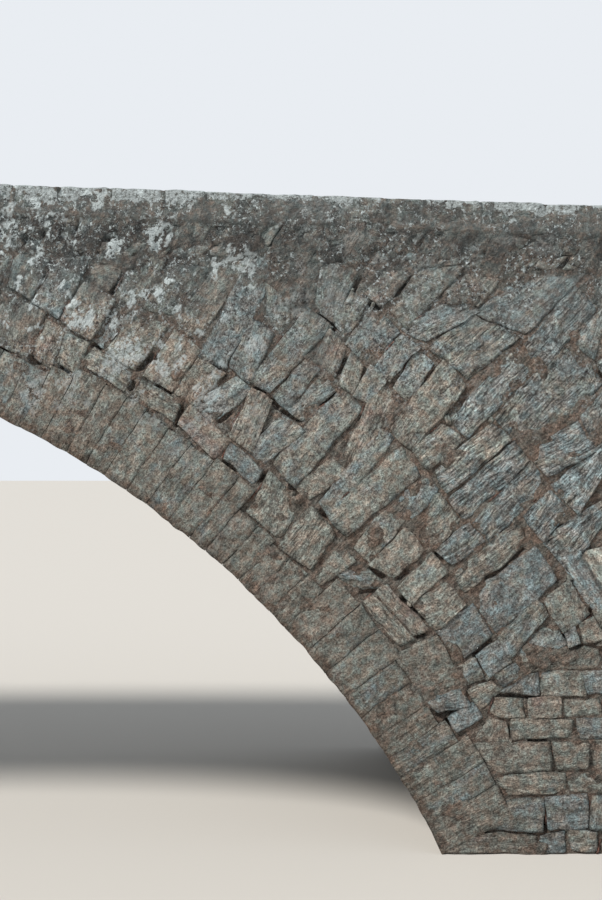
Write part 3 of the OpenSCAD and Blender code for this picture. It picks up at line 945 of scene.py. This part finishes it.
def weathered_stone(name, lichen=0.9, dark=0.9, bump=0.06, stripes=1.0, edge=0.42, gain=1.13, warmth=0.0,
                    soffit_stain=False, crust_share=0.0):
    """Stone that has stood in the rain: patches, layers along its bed, grains and stains on its own tone,
    with painted shade darkening its rims and sides.
    """
    material, shader, add = new_material(name, 0.93)
    coords = add("TexCoord").outputs["Object"]
    place = add("UVMap", uv_map="stone_place")
    tone = add("Attribute", attribute_name="tone", attribute_type="GEOMETRY")
    light, own_hue, layering = add("SeparateColor", tone).outputs
    # Patches of 60 to 250 mm, drawn out along the stone, spots of 20 to 40 mm and grains of 6 to 13 mm
    body = drawn_out(add, place, 9.0, 4.5, 4.0, 0.72)
    spots = add("TexNoise", coords, 26.0, 2.0, 0.7)
    fine = add("TexNoise", coords, 60.0, 2.0, 0.85)
    # Straight layers run along the stone's bed, 5 to 22 mm apart, with a crack here and there
    layers = drawn_out(add, place, 45.0, 5.5, 3.0, 0.8)
    drift = drawn_out(add, place, 7.0, 4.0, 2.0, 0.6)
    split = distance(add, drawn_out(add, place, 12.0, 1.3, 2.0, 0.5), 0.5)
    # Some stones are strongly layered and others are not
    bedded = add("MapRange", layering, 0.35, 1.3, 0.12 * stripes, 1.3 * stripes)
    crack = add("MapRange", split, 0.0, 0.014, 0.45, 1.0)
    crack = add("Mix", add("MapRange", layering, 0.3, 0.6, 0.0, stripes), srgb("#ffffff"), crack, **BLEND)
    hue = weighted_sum(add, (own_hue, 0.9), (drift, 1.1), (1.0, -0.5 - warmth))
    base = colour_of("pink")
    for following, value, low, high in (("warm", hue, 0.05, 0.2), ("plain", hue, 0.28, 0.5),
                                        ("blue", hue, 0.6, 0.85), ("slip", own_hue, 1.1, 1.2)):
        base = add("Mix", add("MapRange", value, low, high), base, colour_of(following), **BLEND)
    layered = product(add, bedded, add("MapRange", layers, *MIDDLE, -0.8, 0.8))
    # Painted shade: the last factor darkens a stone by up to edge where its fourth tone falls, at the rim of
    # its front and on its sides; on the coping, whose fourth tone falls from top to bottom, it darkens the
    # lower part
    shade = product(
        add, add("MapRange", light, 0.0, 1.0, 0.7 * gain, 1.14 * gain),
        add("MapRange", body, *MIDDLE, 0.46, 1.54), add("MapRange", spots, *MIDDLE, 0.72, 1.28),
        add("MapRange", fine, *MIDDLE, 0.3, 1.7), add("Math", 1.0, layered),
        add("MapRange", tone.outputs["Alpha"], 0.0, 1.0, 1 - edge, 1.0))
    colour = add("Mix", 1.0, add("Mix", 1.0, base, crack, **TINT), shade, **TINT)
    # Brown stains of about 200 mm
    stains = [(patches(add, coords, 5.0, 4.0, 0.7, 0.5, 0.68, 0.0, 0.5), colour_of("brown"))]
    if soffit_stain:
        # A brown strip along the ring's lower edge, 60 to 140 mm deep
        wander = patches(add, coords, 3.5, 3.0, 0.6, *MIDDLE, -0.06, 0.06)
        radius = add("Math", radial_place(add, coords)[1], wander)
        across = add("Math", add("SeparateXYZ", coords).outputs["Y"], operation="ABSOLUTE")
        strip = product(add, add("MapRange", radius, SOFFIT_RADIUS + 0.05, SOFFIT_RADIUS + 0.12, 0.7, 0.0),
                        add("MapRange", across, FACE_Y - 0.2, FACE_Y - 0.03))
        stains.append((strip, srgb("#6f6157")))
    for share, stain in stains:
        colour = add("Mix", share, colour, add("Mix", 1.0, stain, shade, **TINT), **BLEND)
    relief = weighted_sum(add, (body, 1.2), (spots, 0.3), (fine, 0.15), (product(add, layers, bedded), 0.5),
                          (split, 0.3))
    # The crust has lobes of about 110 mm, and there is more or less of it over stretches of a metre
    lobes = weighted_sum(add, (tone.outputs["Alpha"], 1.0), (add("TexNoise", coords, 9.0, 3.0, 0.6), 1.6),
                         (add("TexNoise", coords, 0.8, 2.0, 0.5), 2.4), (1.0, -2.08))
    crust = add("MapRange", lobes, 0.62, 0.66, 0.0, crust_share)
    finish_surface(add, shader, coords, colour, relief, bump, lichen, dark, crust)
    return material


def weathered_mortar(name, first, second, lichen=0.9, dark=0.9, bump=0.06, stripes=1.0, grain=1.0):
    """Lime mortar with coarse sand, trowelled on and worn by rain that runs along the stones."""
    material, shader, add = new_material(name, 0.96)
    coords = add("TexCoord").outputs["Object"]
    # Lumps of about 55 mm, streaks 26 mm wide along the arch's radii, clouds of 200 mm and sand of 6 to 17 mm
    lumps = add("TexNoise", coords, 18.0, 3.0, 0.8)
    streaks = drawn_out(add, radial_place(add, coords)[0], 38.0, 6.0, 3.0, 0.75)
    flush = add("Attribute", attribute_name="tone", attribute_type="GEOMETRY")
    cloud = patches(add, coords, 5.0, 4.0, 0.7, 0.38, 0.56)
    colour = add("Mix", cloud, colour_of(first), colour_of(second), **BLEND)
    # Painted shade: mortar lying behind the face takes up to 70 per cent of the joint colour, for the shade
    # deep in the joints
    colour = add("Mix", add("MapRange", flush, 0.0, 0.7, 0.7, 0.0), colour, colour_of("joint"), **BLEND)
    shade = product(add, add("MapRange", lumps, *MIDDLE, 1 - 0.6 * grain, 1 + 0.45 * grain),
                    patches(add, coords, 60.0, 2.0, 0.85, *MIDDLE, 1 - 0.6 * grain, 1 + 0.6 * grain),
                    add("MapRange", streaks, *MIDDLE, 1 - 0.5 * stripes, 1 + 0.5 * stripes))
    colour = add("Mix", 1.0, colour, shade, **TINT)
    relief = weighted_sum(add, (lumps, 1.0), (streaks, 0.6 * stripes))
    finish_surface(add, shader, coords, colour, relief, bump, lichen, dark)
    return material


def rolled_grit(name):
    """Road grit: stones of 10 to 20 mm of mixed greys, in clouds of 450 mm, darker along both edges."""
    material, shader, add = new_material(name, 0.95)
    coords = add("TexCoord").outputs["Object"]
    stones = add("TexVoronoi", coords, 65.0)
    grey = add("SeparateColor", stones.outputs["Color"]).outputs["Red"]
    cloud = add("TexNoise", coords, 2.2, 4.0, 0.65)
    across = add("Math", add("SeparateXYZ", coords).outputs["Y"], operation="ABSOLUTE")
    beside = weighted_sum(add, (across, 1.0), (add("TexNoise", coords, 4.0, 4.0, 0.7), 1.2), (1.0, -0.6))
    brown = add("MapRange", grey, 0.5, 0.9, 0.0, 0.35)
    colour = add("Mix", brown, colour_of("grit"), colour_of("brown"), **BLEND)
    edge = add("MapRange", beside, ROAD_HALF - 0.45, ROAD_HALF, 0.0, 0.8)
    colour = add("Mix", edge, colour, srgb("#5c5f50"), **BLEND)
    # Painted shade: each grit stone gets darker towards its border, in the gaps between the stones
    shade = product(add, add("MapRange", grey, 0.0, 1.0, 0.62, 1.3),
                    add("MapRange", stones, 0.2, 0.7, 1.1, 0.6), add("MapRange", cloud, *MIDDLE, 0.8, 1.2))
    colour = add("Mix", 1.0, colour, shade, **TINT)
    set_surface(add, shader, colour, weighted_sum(add, (stones, -0.4), (cloud, 1.0)), 0.012)
    return material


FINISHES = {
    # Schist and sandstone rubble, split by hand and left rough: dull, layered and uneven in tone
    "split_rubble": (weathered_stone, {}),
    # Ring stones of the same sandstone, tooled flat along their length: darker, plainer and smoother
    "tooled_ring_stone": (weathered_stone, {
        "lichen": 0.5, "dark": 0.4, "bump": 0.035, "stripes": 0.7, "edge": 0.35, "gain": 0.85,
        "warmth": -0.1, "soffit_stain": True}),
    # Slabs laid on the parapet and washed by rain: a pale crust along their upper edges
    "crusted_coping_stone": (weathered_stone, {
        "lichen": 1.0, "dark": 0.8, "stripes": 0.5, "edge": 0.3, "gain": 0.92, "crust_share": 0.9}),
    # Lime mortar, thrown into the joints and struck off by hand: matt and sandy, in grey and brown
    "joint_mortar": (weathered_mortar, {"first": "mortar", "second": "brown"}),
    # Thick lime render, thrown over the parapet's stones: lumpy, with a coarse grain
    "parapet_render": (weathered_mortar, {
        "first": "mortar", "second": "brown", "lichen": 1.0, "bump": 0.09, "grain": 1.25}),
    # Fine mortar, struck over the coping's joints and lower edge with a trowel: greyer and smoother
    "struck_mortar": (weathered_mortar, {
        "first": "brown", "second": "algae", "lichen": 0.7, "dark": 0.7, "bump": 0.04, "stripes": 0.3,
        "grain": 0.75}),
    # Grit, rolled into the road: a matt speckle of greys
    "rolled_grit": (rolled_grit, {}),
}


@cache
def finish_of(name):
    """The named finish, made once."""
    make, settings = FINISHES[name]
    return make(name, **settings)


class BRIDGE_OT_ring_stones(bpy.types.Operator):
    """Cuts the two face rings: long tapered stones with worn arrises, close-set in mortar"""

    bl_idname = "bridge.ring_stones"
    bl_label = "Ring stones"

    def execute(self, context):
        parts = ("crown", "right_haunch", "left_haunch", "right_foot", "left_foot")
        for near_far, side_y, first_seed in (("near", -1.0, 100), ("far", 1.0, 150)):
            for number, part in enumerate(parts):
                self.part("ring_%s_%s" % (near_far, part), side_y, first_seed + 7 * number)
        return {"FINISHED"}

    def part(self, node, side_y, seed):
        """One part of a ring, with its mortar."""
        face = wall_face(1.0, side_y, FACE_Y, seed)
        rng = np.random.default_rng(seed)
        ring, cells = ring_plan(node), []
        for a, b, depth in ring:
            a, b = a - RING_GROWTH, b + RING_GROWTH
            left, right = SOFFIT_RADIUS + depth + rng.uniform(-0.02, 0.004, 2)
            corners = [arch_xz(*at) for at in ((SOFFIT_RADIUS, a), (SOFFIT_RADIUS, b), (right, b), (left, a))]
            cells.append(stone_cell(rng, corners, seed, dressed=True))
        # These two parts are seen from close by
        across, along = (9, 26) if node in ("ring_near_right_haunch", "ring_near_right_foot") else (5, 9)
        stones, bed = Build(), Build()
        lay_stones(stones, face, cells, across, along, [0.04, 0.2, WALL], RING)
        # The mortar runs from 20 to 470 mm above the soffit, behind the stones' worn edges
        aa, rr = grid((ring[0][0] - 0.0007, ring[-1][1] + 0.0007, len(ring) * 10 + 1),
                      (SOFFIT_RADIUS + 0.02, SOFFIT_RADIUS + 0.47, 16))
        p, q = arch_xz(rr, aa)
        spots = flat_points(p, q)
        level = -0.010 + 0.010 * rough_noise(spots, 0.12, 71, 3)
        level -= 0.05 * smooth_step(0.72, 0.84, lattice_noise(spots, 0.12, 72))
        lay_bed(bed, face, p, q, level, WALL)
        finish_pair(node, "dressed_stone", stones, "tooled_ring_stone", bed, "joint_mortar")


class BRIDGE_OT_rubble_walls(bpy.types.Operator):
    """Builds the spandrel and wing walls of pitched and level rubble in their mortar"""

    bl_idname = "bridge.rubble_walls"
    bl_label = "Rubble walls"

    def execute(self, context):
        for quarter in QUARTERS:
            self.wall(*quarter, context.scene.bridge_sizes)
        return {"FINISHED"}

    def wall(self, quarter, side_x, side_y, seed, shared, sizes):
        """One wall from the crown to the bridge's end."""
        face = wall_face(side_x, side_y, FACE_Y, seed)
        rng = np.random.default_rng(seed)
        pitching = Pitching(rng, seed, side_ring(quarter), sizes)
        cells = bent(pitching.cells(), seed, side_x, shared)
        lines = open_joints(rng, cells, 0.2, 0.13)
        courses = level_cells(rng, seed, pitching.start_of_courses, HALF_LENGTH, 0.0, pitching.top,
                              0.3, 0.75, 0.19, 0.36)
        lines += open_joints(rng, bent(courses, seed, side_x, shared), 0.1, 0.08)
        cells += courses
        small = pinning_cells(rng, seed, cells, 0.6, 0.62)
        look = dict(RUBBLE, joint=sizes.joint)
        quoin_look = dict(look, side_rough=0.008, side_shade_tone=0.8)
        fine = quarter == CLOSE
        for piece, low, high, cuts, points in (
                ("spandrel", -math.inf, WING_X, (12, 18), self.spandrel_points),
                ("wing", WING_X, math.inf, (9, 8), self.wing_points)):
            mine, mine_small = ([cell for cell in group if low <= np.mean(cell["corners"], axis=0)[0] < high]
                                for group in (cells, small))
            across, along = cuts if fine else (5, 6)
            stones, bed = Build(), Build()
            inner = [cell for cell in mine if not cell.get("quoin")]
            quoins = [cell for cell in mine if cell.get("quoin")]
            lay_stones(stones, face, inner, across, along, [0.12], look)
            lay_stones(stones, face, quoins, across, along, [0.05, 0.2, 0.35, WALL - 0.01], quoin_look)
            lay_stones(stones, face, mine_small, 3, 4, [0.12], PINNING)
            p, q = points(fine)
            level = mortar_level(p, q, side_x, shared, sizes, lines)
            if piece == "wing":
                # It passes 4 mm behind the spandrel's mortar where the two overlap
                level = level - 0.004 * smooth_step(WING_X + 0.03, WING_X - 0.05, p)
            lay_bed(bed, face, p, q, level, WALL)
            finish_pair(piece + "_" + quarter, "rubble_stone", stones, "split_rubble", bed, "joint_mortar")

    def spandrel_points(self, fine):
        """Points from the ring's back, or the ground, along the arch's radii up to the parapet.

        They stand closer together past 0.34 radians off the crown, where the wall is higher.
        """
        last = math.atan2(WING_X, -CENTRE_Z)
        corner = math.atan2(WING_X, float(wall_top(WING_X)) - CENTRE_Z)
        spring = math.acos(-CENTRE_Z / SOFFIT_RADIUS)
        angles = np.unique(np.concatenate([
            np.linspace(0, 0.34, 60), np.linspace(0.34, last, 440 if fine else 120),
            [corner, spring, spring + 1e-5]]))
        roof = np.minimum(ray_to(wall_top, angles), WING_X / np.maximum(np.sin(angles), 1e-6))
        floor = np.where(angles > spring, 0.0, SOFFIT_RADIUS + 0.45)
        floor = np.maximum(floor, -CENTRE_Z / np.cos(angles))
        t = np.linspace(0, 1, 138 if fine else 46)[:, None]
        return arch_xz(floor + (np.maximum(roof, floor + 0.001) - floor) * t, angles)

    def wing_points(self, fine):
        """Points on an upright strip from the spandrel to the bridge's end."""
        p, t = grid((WING_X - 0.05, HALF_LENGTH - 0.02, 60 if fine else 30), (0, 1, 110 if fine else 60))
        return p, t * wall_top(p)


class BRIDGE_OT_parapets(bpy.types.Operator):
    """Builds the parapets: small level stones all but buried in rough render, on both faces"""

    bl_idname = "bridge.parapets"
    bl_label = "Parapets"

    def execute(self, context):
        sizes = context.scene.bridge_sizes
        look = dict(RUBBLE, joint=0.022, rim_drop=0.026)
        for quarter, side_x, side_y, own_seed, shared in QUARTERS:
            stones, bed = Build(), Build()
            for turn, y, extra in ((1.0, FACE_Y, 0), (-1.0, ROAD_HALF, INSIDE)):
                seed = own_seed + extra
                rng = np.random.default_rng(seed + 1)
                face = wall_face(side_x, side_y, y, seed, turn)
                close = quarter == CLOSE and turn > 0
                across, along, spacing = (7, 5, 0.027) if close else (4, 3, 0.08)
                cells = level_cells(rng, seed, lambda z: 0.0, HALF_LENGTH, 0.02, lambda x: 0.41,
                                    0.14, 0.36, 0.12, 0.24)
                for cell in cells:
                    x, z = cell["corners"].T
                    z += wall_top(x)
                    x += crown_shift(x, z, side_x, shared + 5)
                    if turn > 0:
                        # The stones lean with the pitched ones below them
                        x += (z - wall_top(x)) * x / (BED_TOP - CENTRE_Z) * smooth_step(12.8, 11.5, x)
                    cell["lift"] = rng.uniform(-0.026, -0.006)
                lay_stones(stones, face, cells, across, along, [0.08], look)
                p, up = grid((0, HALF_LENGTH - 0.015, int(HALF_LENGTH / spacing)),
                             (-0.04, COPING_BED - BED_TOP + 0.02, int(0.45 / spacing) + 3))
                q = up + wall_top(p)
                level = mortar_level(p, q, side_x, shared + extra, sizes, [])
                lay_bed(bed, face, p, q, level - 0.006 * smooth_step(0.0, -0.03, up), WALL / 2)
            finish_pair("parapet_" + quarter, "parapet_stone", stones, "split_rubble",
                        bed, "parapet_render", "render")
        return {"FINISHED"}


class BRIDGE_OT_coping(bpy.types.Operator):
    """Lays the coping stones: rough squared blocks, their joints and lower edges smeared with mortar"""

    bl_idname = "bridge.coping"
    bl_label = "Coping"

    def execute(self, context):
        joints = [0.0]
        for length in cycle(COPING_LENGTHS):
            if joints[-1] >= HALF_LENGTH - 0.6 * length:
                break
            joints.append(joints[-1] + length)
        joints[-1] = HALF_LENGTH
        joints = np.array(joints)
        for quarter, side_x, side_y, seed, shared in QUARTERS:
            stones, bed = Build(), Build()
            self.stones(stones, joints, side_x, side_y, seed, quarter == CLOSE)
            for turn, y in ((1.0, FACE_Y), (-1.0, ROAD_HALF)):
                face = wall_face(side_x, side_y, y, shared, turn)
                self.smear(bed, face, side_x, joints, turn > 0 and quarter == CLOSE)
            finish_pair("coping_" + quarter, "coping_stone", stones, "crusted_coping_stone",
                        bed, "struck_mortar")
        return {"FINISHED"}

    def stones(self, build, joints, side_x, side_y, seed, fine):
        """Blocks with the section (cos t)^0.16, (sin t)^0.16, drawn in at both ends and roughened."""
        rng = np.random.default_rng(seed + 2)
        n = len(joints) - 1
        around, along = (32, 14) if fine else (16, 6)
        height = COPING_TOP - COPING_BED
        half = WALL / 2 + OVERHANG
        turn = (np.arange(around) + 0.5) / around * 2 * math.pi
        cy, cz = (np.sign(w) * np.abs(w) ** 0.16 for w in (np.cos(turn), np.sin(turn)))
        s = np.sin(np.linspace(-1, 1, along + 1) * math.pi / 2)[None, :, None]
        length = (joints[1:] - joints[:-1] - 0.002)[:, None, None]
        middle = ((joints[1:] + joints[:-1]) / 2)[:, None, None]
        ends = smooth_step(0.92, 1.0, np.abs(s))
        x = middle + s * length / 2 + 0 * turn
        shrink = rng.uniform(0.0, [[[[0.012]]], [[[0.006]]]], (2, n, 1, 1))
        y = cy * (half - 0.002 - 0.005 * ends - shrink[0]) + 0 * x
        z = cz * (height / 2 - 0.006 * ends - shrink[1] / 2) - height / 2 - shrink[1] / 2 + 0 * x
        spots = np.stack([x, y * side_y + 3, z], axis=-1) + rng.uniform(0, 20, (n, 1, 1, 1))
        bulge = 0.010 * rough_noise(spots, 0.14, 90, 3) - 0.007
        y = np.clip(y + cy * bulge, -half, half)
        z = np.minimum(z + cz * (bulge * 0.7 + 0.004), 0.0)
        y_middle = (FACE_Y + ROAD_HALF) / 2
        world = np.stack([side_x * x, side_y * (y_middle + y), COPING_TOP + z - fall(x)], axis=-1)
        points = np.concatenate([world.reshape(n, -1, 3), world.mean(axis=2)[:, [0, -1]]], axis=1)
        index = np.arange((along + 1) * around).reshape(along + 1, around)
        quads = np.concatenate([strip_quads(*pair)[:, ::-1] for pair in pairwise(index)])
        first = np.stack([np.roll(index[0], -1), index[0], np.full(around, index.size)], axis=1)
        last = np.stack([index[-1], np.roll(index[-1], -1), np.full(around, index.size + 1)], axis=1)
        tones = np.ones((n, points.shape[1], 4))
        tones[..., :3] = rng.uniform([0.1, 0.0, 0.5], [0.9, 1.0, 1.0], (n, 1, 3))
        # The fourth tone falls from 1 at the top to 0 at the bottom: the finish darkens the lower part by it
        # and keeps the crust to the upper part
        tones[:, :-2, 3] = 1 + z.reshape(n, -1) / height
        local = points[..., [2, 0]] + points[..., [1, 1]] * [1.0, 0.0]
        faces = [(quads, True), (np.concatenate([first, last]), False)]
        build.add(points, faces, tones, local, side_x * side_y > 0)

    def smear(self, bed, face, side_x, joints, fine):
        """Mortar behind the coping's face, spread over its lower edge and joints in places."""
        p, up = grid((0, HALF_LENGTH - 0.024, 520 if fine else 160),
                     (-0.07, COPING_TOP - COPING_BED - 0.02, 16 if fine else 7))
        q = COPING_BED - fall(p) + up
        spots = flat_points(side_x * p, q)
        level = -0.02 + 0.008 * rough_noise(spots, 0.1, face.seed + 81, 3)
        low = smooth_step(0.17, 0.08, up + 0.14 * rough_noise(spots, 0.3, face.seed + 82, 3))
        gap = np.min(np.abs(p[0][:, None] - joints), axis=1)
        kept = smooth_step(-0.5, 0.0, lattice_noise(spots, 0.12, face.seed + 83))
        filled = smooth_step(0.04, 0.012, gap) * kept
        level = level + 0.031 * np.maximum(low, filled) - 0.03 * smooth_step(-0.01, -0.06, up)
        lay_bed(bed, face, p, q, np.minimum(level, OVERHANG), WALL / 2)


class BRIDGE_OT_vault(bpy.types.Operator):
    """Lays the underside of the vault in courses between the face rings"""

    bl_idname = "bridge.vault"
    bl_label = "Vault"

    def execute(self, context):
        face = soffit_face(131)
        joints = [stone[0] for stone in side_ring("near_right")[1:]]
        joints = sorted([-a for a in joints] + joints)
        look = dict(RUBBLE, rim_drop=0.016, wander=0.005, ceiling=0.0)
        nodes = sorted(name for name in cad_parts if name.startswith("barrel_"))
        for number, node in enumerate(nodes):
            rng = np.random.default_rng(400 + number)
            _, r, a = mesh_points(node)
            inner = a[r < SOFFIT_RADIUS + 0.01]
            low, high = float(inner.min()), float(inner.max())
            edges = [low] + [joint for joint in joints if low + 0.006 < joint < high - 0.006] + [high]
            cells = []
            for p0, p1 in pairwise(SOFFIT_RADIUS * edge for edge in edges):
                for y0, y1 in pairwise(breaks(rng, -ROAD_HALF, ROAD_HALF, 0.32, 0.75)):
                    cell = stone_cell(rng, [[p0, y0], [p1, y0], [p1, y1], [p0, y1]], face.seed, dressed=True)
                    cells.append(dict(cell, lift=rng.uniform(-0.014, -0.002), round=rng.uniform(0.05, 0.25)))
            stones, bed = Build(), Build()
            lay_stones(stones, face, cells, 4, 6, [0.1], look)
            p, q = grid((low * SOFFIT_RADIUS, high * SOFFIT_RADIUS, len(edges) * 4),
                        (-ROAD_HALF, ROAD_HALF, 45))
            level = -0.018 + 0.006 * rough_noise(flat_points(p, q), 0.12, 133, 3)
            lay_bed(bed, face, p, q, level, RING_DEPTH, curved=True)
            finish_pair(node, "vault_stone", stones, "split_rubble", bed, "joint_mortar")
        return {"FINISHED"}


class BRIDGE_OT_road(bpy.types.Operator):
    """Spreads the road: a cambered hump of rolled grit with two shallow wheel tracks"""

    bl_idname = "bridge.road"
    bl_label = "Road"

    def execute(self, context):
        for side, side_x in SIDES.items():
            # The noise is read at the world's x, so that both halves meet at the crown
            p, q = grid((0, HALF_LENGTH, 90), (-ROAD_HALF, ROAD_HALF, 30))
            crown = ROAD_TOP - CAMBER * (q / ROAD_HALF) ** 2
            tracks = TRACK_DEPTH * np.exp(-(((np.abs(q) - TRACK_Y) / TRACK_HALF) ** 2))
            level = crown - tracks - 0.008 + 0.006 * rough_noise(flat_points(side_x * p, q), 0.4, 173, 4)
            level = np.minimum(level, crown)
            build = Build()
            lay_bed(build, road_face(side_x, 171), p, q, level, ROAD_THICKNESS - ROAD_TOP, curved=True)
            build.finish("road_%s_surface" % side, "rolled_grit", "road_metal", "road_" + side)
        return {"FINISHED"}


class BRIDGE_OT_ends(bpy.types.Operator):
    """Faces the abutments' two ends with level rubble and finishes the core behind the walls"""

    bl_idname = "bridge.ends"
    bl_label = "Ends"

    def execute(self, context):
        top = float(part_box("abutment_right")[1].z) - float(fall(HALF_LENGTH) - fall(WING_X))
        for seed, (side, side_x) in enumerate(SIDES.items(), 191):
            face = end_face(side_x, seed)
            rng = np.random.default_rng(seed)
            cells = level_cells(rng, seed, lambda z: -ROAD_HALF, ROAD_HALF, 0.0, lambda y: top,
                                0.26, 0.62, 0.18, 0.32)
            stones, bed = Build(), Build()
            lay_stones(stones, face, cells, 4, 4, [0.12], dict(RUBBLE, ceiling=0.0))
            p, q = grid((-ROAD_HALF, ROAD_HALF, 60), (0, top, 90))
            level = -0.026 + 0.006 * rough_noise(flat_points(p, q), 0.12, 193, 3)
            lay_bed(bed, face, p, q, level, HALF_LENGTH - WING_X)
            finish_pair("abutment_" + side, "rubble_fill", stones, "split_rubble", bed, "joint_mortar")
            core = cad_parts["haunch_fill_" + side]
            core.data.materials.clear()
            core.data.materials.append(finish_of("joint_mortar"))
        return {"FINISHED"}


class BRIDGE_OT_stage(bpy.types.Operator):
    """Sets the pale floor, the soft light and the camera at the photograph's place"""

    bl_idname = "bridge.stage"
    bl_label = "Stage"

    def execute(self, context):
        scene = context.scene
        scene.view_settings.view_transform = "Standard"
        corners = np.array([(150.0 * x, 150.0 * y, 0.0) for x, y in CORNERS])
        floor = new_object("floor", corners, np.arange(4), np.array([4]), [False])
        pale, shader, _ = new_material("pale_floor", 0.9)
        shader.inputs["Base Color"].default_value = srgb("#cfcdc8")
        floor.data.materials.append(pale)
        world = bpy.data.worlds.new("soft_sky")
        scene.world = world
        world.use_nodes = True
        # The sky lights the bridge at 0.55 and is seen at 1
        background = world.node_tree.nodes["Background"].inputs
        plug(background["Color"], srgb("#e9edf2"))
        seen = add_node(world.node_tree, "LightPath").outputs["Is Camera Ray"]
        plug(background["Strength"], add_node(world.node_tree, "MapRange", seen, 0.0, 1.0, 0.55, 1.0))
        # The sun stands high, behind the camera and to its left
        lamp = bpy.data.lights.new("key", "SUN")
        lamp.energy = 3.4
        lamp.angle = math.radians(12)
        lamp.color = srgb("#fff9f2")[:3]
        key = bpy.data.objects.new("key", lamp)
        key.rotation_euler = Vector((0.75, 0.55, -1.0)).to_track_quat("-Z", "Y").to_euler()
        scene.collection.objects.link(key)
        camera = bpy.data.cameras.new("camera")
        camera.sensor_fit = "VERTICAL"
        camera.sensor_height = 36.0
        camera.lens = 50.0
        camera.clip_end = 500.0
        eye = bpy.data.objects.new("camera", camera)
        # The photograph was taken level, square to the face, 12.5 m from it
        eye.location = (7.25, -FACE_Y - 12.5, 4.05)
        eye.rotation_euler = (math.radians(90), 0.0, 0.0)
        scene.collection.objects.link(eye)
        scene.camera = eye
        return {"FINISHED"}


class BRIDGE_PT_panel(bpy.types.Panel):
    """Lists the bridge's sizes, colours and parts"""

    bl_label = "Stone bridge"
    bl_idname = "BRIDGE_PT_panel"
    bl_space_type = "VIEW_3D"
    bl_region_type = "UI"
    bl_category = "Bridge"

    def draw(self, context):
        for group in (context.scene.bridge_sizes, context.scene.bridge_colours):
            for name in type(group).__annotations__:
                self.layout.prop(group, name)
        for operator in OPERATORS:
            self.layout.operator(operator.bl_idname)


OPERATORS = (
    BRIDGE_OT_ring_stones, BRIDGE_OT_rubble_walls, BRIDGE_OT_parapets, BRIDGE_OT_coping,
    BRIDGE_OT_vault, BRIDGE_OT_road, BRIDGE_OT_ends, BRIDGE_OT_stage,
)
CLASSES = (BridgeSizes, BridgeColours) + OPERATORS + (BRIDGE_PT_panel,)


def register():
    for cls in CLASSES:
        bpy.utils.register_class(cls)
    bpy.types.Scene.bridge_sizes = bpy.props.PointerProperty(type=BridgeSizes)
    bpy.types.Scene.bridge_colours = bpy.props.PointerProperty(type=BridgeColours)


def unregister():
    del bpy.types.Scene.bridge_colours
    del bpy.types.Scene.bridge_sizes
    for cls in reversed(CLASSES):
        bpy.utils.unregister_class(cls)


def main():
    register()
    for operator in OPERATORS:
        group, name = operator.bl_idname.split(".")
        getattr(getattr(bpy.ops, group), name)()


if __name__ == "__main__":
    main()
